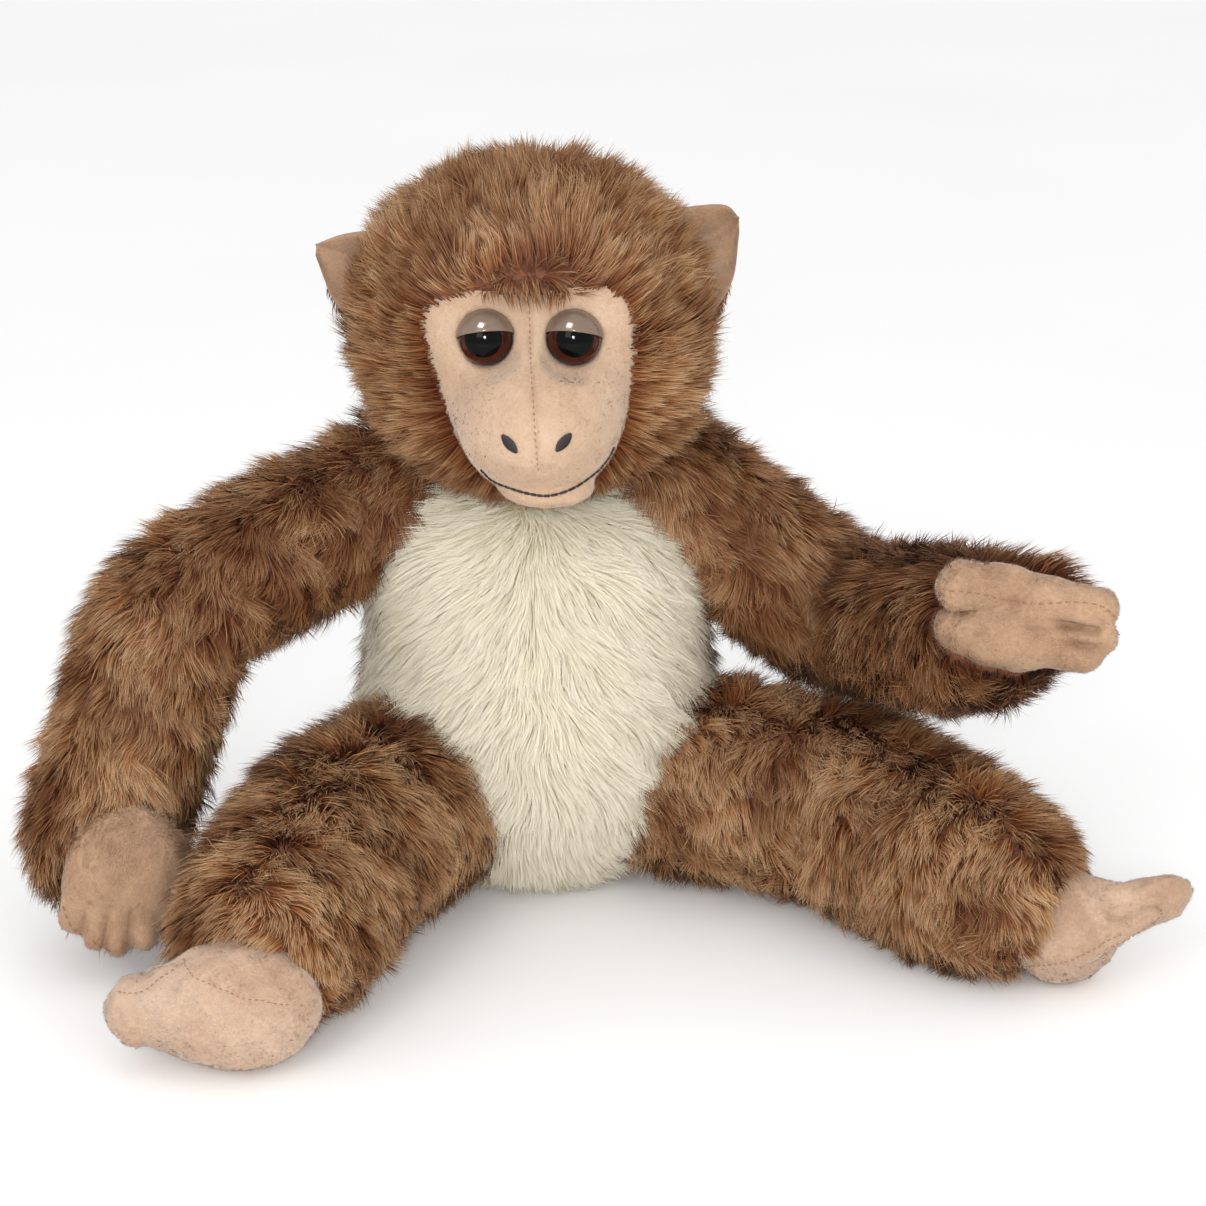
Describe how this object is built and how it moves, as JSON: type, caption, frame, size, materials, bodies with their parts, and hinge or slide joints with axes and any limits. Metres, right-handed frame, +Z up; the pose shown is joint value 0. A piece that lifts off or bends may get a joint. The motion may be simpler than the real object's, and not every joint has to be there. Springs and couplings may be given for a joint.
{
  "type": "stuffed monkey",
  "caption": "Seated stuffed monkey with long plush fur, a short-pile face, glossy half-lidded eyes and limbs that turn at sewn joints.",
  "frame": {"origin": "centre of the flat seat face, where the toy meets the surface it sits on", "axes": "+Z up, the toy faces -Y, its left side is +X"},
  "size_m": [0.3267, 0.2025, 0.2188],
  "materials": {
    "brown_plush": "long brushed pile, frosted tips",
    "cream_plush": "long soft pile",
    "velour": "short pile",
    "stuffing": "loose fibre",
    "embroidery": "satin stitch",
    "eye_brown": "polished",
    "pupil_black": "polished",
    "eyelid": "smooth",
    "washer": "plain"
  },
  "bodies": {
    "torso": {"back_panel": "brown_plush", "right_belly_panel": "cream_plush", "left_belly_panel": "cream_plush", "torso_stuffing": "stuffing"},
    "neck": {"neck_sleeve": "brown_plush", "neck_stuffing": "stuffing"},
    "head": {"crown_panel": "brown_plush", "right_head_panel": "brown_plush", "left_head_panel": "brown_plush", "right_face_panel": "velour", "left_face_panel": "velour", "chin_panel": "velour", "mouth_stitch": "embroidery", "right_nostril": "embroidery", "left_nostril": "embroidery", "right_ear_front": "velour", "right_ear_back": "brown_plush", "left_ear_front": "velour", "left_ear_back": "brown_plush", "right_eyeball": "eye_brown", "right_pupil": "pupil_black", "right_eyelid": "eyelid", "right_eye_washer": "washer", "left_eyeball": "eye_brown", "left_pupil": "pupil_black", "left_eyelid": "eyelid", "left_eye_washer": "washer", "head_stuffing": "stuffing"},
    "right_upper_arm": {"right_upper_arm_sleeve": "brown_plush", "right_upper_arm_stuffing": "stuffing"},
    "right_forearm": {"right_forearm_sleeve": "brown_plush", "right_forearm_stuffing": "stuffing"},
    "right_hand": {"right_palm": "velour", "right_hand_back": "brown_plush", "right_thumb": "velour", "right_hand_stuffing": "stuffing"},
    "right_thigh": {"right_thigh_sleeve": "brown_plush", "right_thigh_stuffing": "stuffing"},
    "right_shin": {"right_shin_sleeve": "brown_plush", "right_shin_stuffing": "stuffing"},
    "right_foot": {"right_foot_sole": "velour", "right_foot_top": "velour", "right_foot_stuffing": "stuffing"},
    "left_upper_arm": {"left_upper_arm_sleeve": "brown_plush", "left_upper_arm_stuffing": "stuffing"},
    "left_forearm": {"left_forearm_sleeve": "brown_plush", "left_forearm_stuffing": "stuffing"},
    "left_hand": {"left_palm": "velour", "left_hand_back": "brown_plush", "left_thumb": "velour", "left_hand_stuffing": "stuffing"},
    "left_thigh": {"left_thigh_sleeve": "brown_plush", "left_thigh_stuffing": "stuffing"},
    "left_shin": {"left_shin_sleeve": "brown_plush", "left_shin_stuffing": "stuffing"},
    "left_foot": {"left_foot_sole": "velour", "left_foot_top": "velour", "left_foot_stuffing": "stuffing"}
  },
  "joints": [
    {"name": "neck_turn", "type": "hinge", "parent": "torso", "child": "neck", "pos_m": [0, -0.008, 0.134], "axis": [0, 0, 1], "range_deg": [-20, 20]},
    {"name": "head_nod", "type": "hinge", "parent": "neck", "child": "head", "pos_m": [0, -0.008, 0.134], "axis": [1, 0, 0], "range_deg": [-10, 10]},
    {"name": "right_shoulder_raise", "type": "hinge", "parent": "torso", "child": "right_upper_arm", "pos_m": [-0.042, -0.005, 0.118], "axis": [0, 1, 0], "range_deg": [0, 35]},
    {"name": "right_elbow_bend", "type": "hinge", "parent": "right_upper_arm", "child": "right_forearm", "pos_m": [-0.104, -0.038, 0.092], "axis": [-0.344, 0.8876, -0.3063], "range_deg": [0, 40]},
    {"name": "right_wrist_bend", "type": "hinge", "parent": "right_forearm", "child": "right_hand", "pos_m": [-0.123, -0.064, 0.038], "axis": [-1, 0, 0], "range_deg": [0, 30]},
    {"name": "left_shoulder_raise", "type": "hinge", "parent": "torso", "child": "left_upper_arm", "pos_m": [0.042, -0.005, 0.118], "axis": [0, -1, 0], "range_deg": [0, 35]},
    {"name": "left_elbow_bend", "type": "hinge", "parent": "left_upper_arm", "child": "left_forearm", "pos_m": [0.094, 0.004, 0.077], "axis": [0.4971, 0.465, 0.7326], "range_deg": [0, 40]},
    {"name": "left_wrist_bend", "type": "hinge", "parent": "left_forearm", "child": "left_hand", "pos_m": [0.126, -0.057, 0.094], "axis": [0, 0, 1], "range_deg": [-15, 15]},
    {"name": "right_hip_swing", "type": "hinge", "parent": "torso", "child": "right_thigh", "pos_m": [-0.037, -0.031, 0.032], "axis": [0, 0, 1], "range_deg": [0, 15]},
    {"name": "right_knee_lift", "type": "hinge", "parent": "right_thigh", "child": "right_shin", "pos_m": [-0.057, -0.068, 0.033], "axis": [-0.9529, 0.3032, 0], "range_deg": [0, 25]},
    {"name": "right_ankle_tip", "type": "hinge", "parent": "right_shin", "child": "right_foot", "pos_m": [-0.071, -0.112, 0.026], "axis": [-0.3387, 0.9409, 0], "range_deg": [0, 20]},
    {"name": "left_hip_swing", "type": "hinge", "parent": "torso", "child": "left_thigh", "pos_m": [0.047, -0.014, 0.032], "axis": [0, 0, 1], "range_deg": [-15, 0]},
    {"name": "left_knee_lift", "type": "hinge", "parent": "left_thigh", "child": "left_shin", "pos_m": [0.092, -0.034, 0.031], "axis": [-0.7415, -0.6709, 0], "range_deg": [0, 25]},
    {"name": "left_ankle_tip", "type": "hinge", "parent": "left_shin", "child": "left_foot", "pos_m": [0.13, -0.076, 0.025], "axis": [-0.037, -0.9993, 0], "range_deg": [0, 20]}
  ]
}
